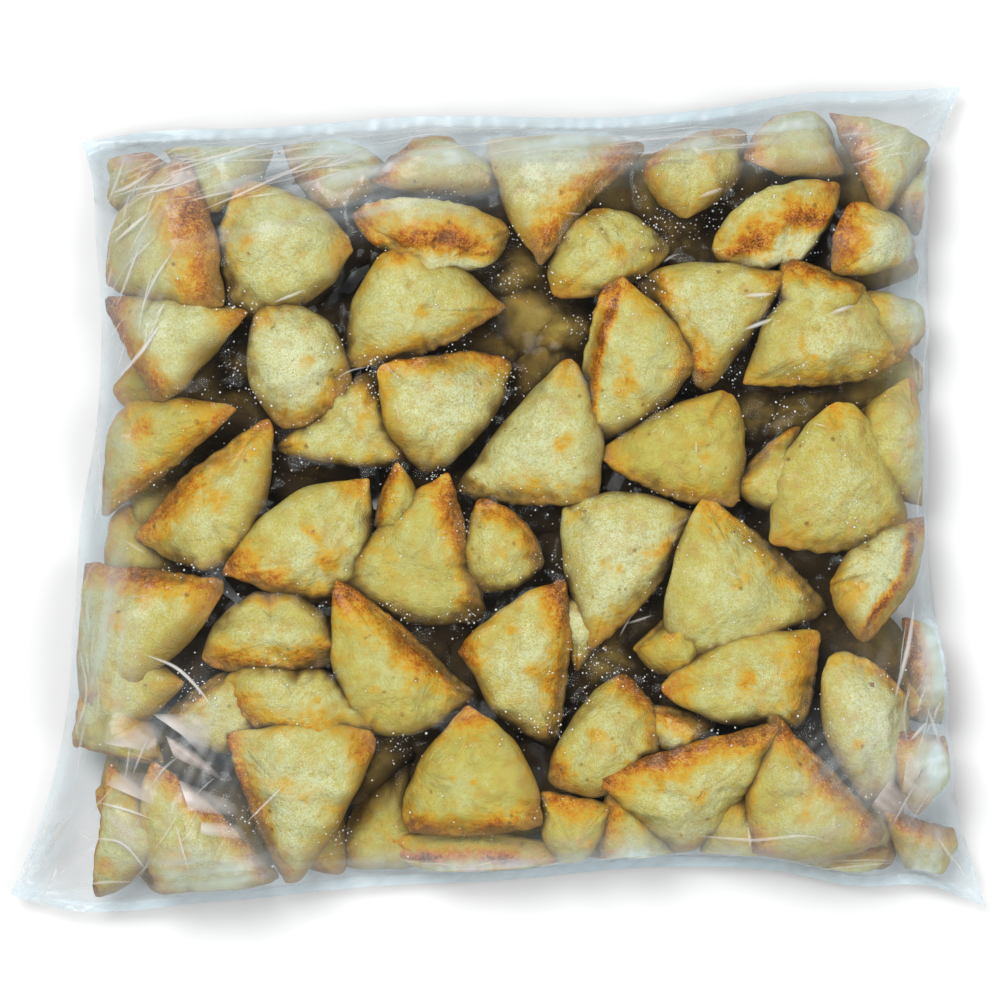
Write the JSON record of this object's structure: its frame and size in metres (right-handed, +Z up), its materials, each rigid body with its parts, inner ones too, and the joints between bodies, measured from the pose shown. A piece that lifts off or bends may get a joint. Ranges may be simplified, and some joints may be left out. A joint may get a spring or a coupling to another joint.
{
  "type": "bag of frozen samosas",
  "caption": "Clear sealed pillow bag packed with small pre-fried frozen triangular samosas, lying flat, with cut end seals, side folds and loose film corners.",
  "frame": {"origin": "middle of the bag's flat underside, on the surface that the bag lies on", "axes": "+X along the bag's end seals, which is its longest way; +Y across it, from the lower end seal to the upper one; +Z up"},
  "size_m": [0.441, 0.3734, 0.0599],
  "materials": {
    "film": "clear, thin, slightly bluish polyethylene film with creases, a milky bloom where it is doubled, and glossy highlights",
    "pastry": "pale, dry, finely blistered fried pastry with a little frost, browned to orange along the crimped edges and corners",
    "frost": "small white ice crystals"
  },
  "bodies": {
    "root": {"filled_bag": "film"}
  },
  "joints": []
}
